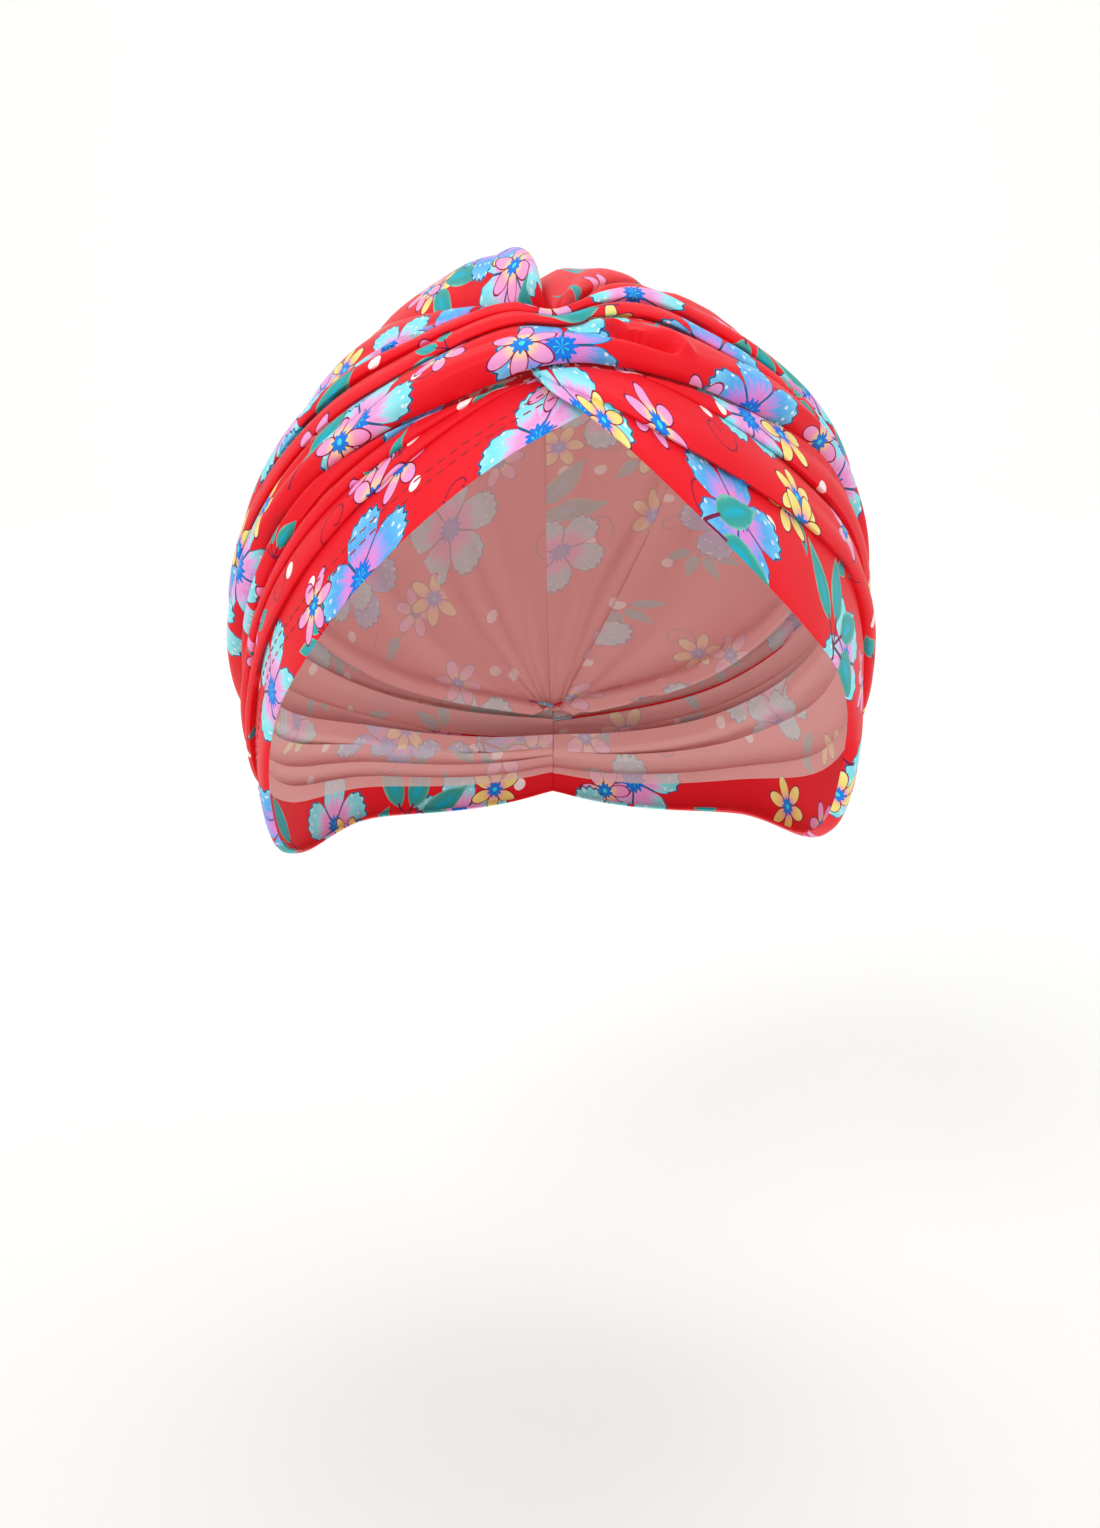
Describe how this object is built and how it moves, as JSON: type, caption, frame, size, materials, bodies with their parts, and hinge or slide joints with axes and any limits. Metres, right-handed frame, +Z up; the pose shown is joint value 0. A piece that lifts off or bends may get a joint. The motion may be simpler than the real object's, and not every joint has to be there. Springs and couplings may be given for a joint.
{
  "type": "turban headwrap",
  "caption": "Pre-tied stretch-jersey turban in its worn form, with a pleated band crossed over a pointed brow opening and a gathered crown.",
  "frame": {"origin": "the top of the wearer's head, under the crown panel", "axes": "+Z up out of the crown, -Y towards the face opening, +X to the right as seen from the front"},
  "size_m": [0.1704, 0.1825, 0.1697],
  "materials": {
    "printed_jersey": "satin"
  },
  "bodies": {
    "root": {"left_brow_panel": "printed_jersey", "right_brow_panel": "printed_jersey", "crossing_band": "printed_jersey", "crown_panel": "printed_jersey"}
  },
  "joints": []
}
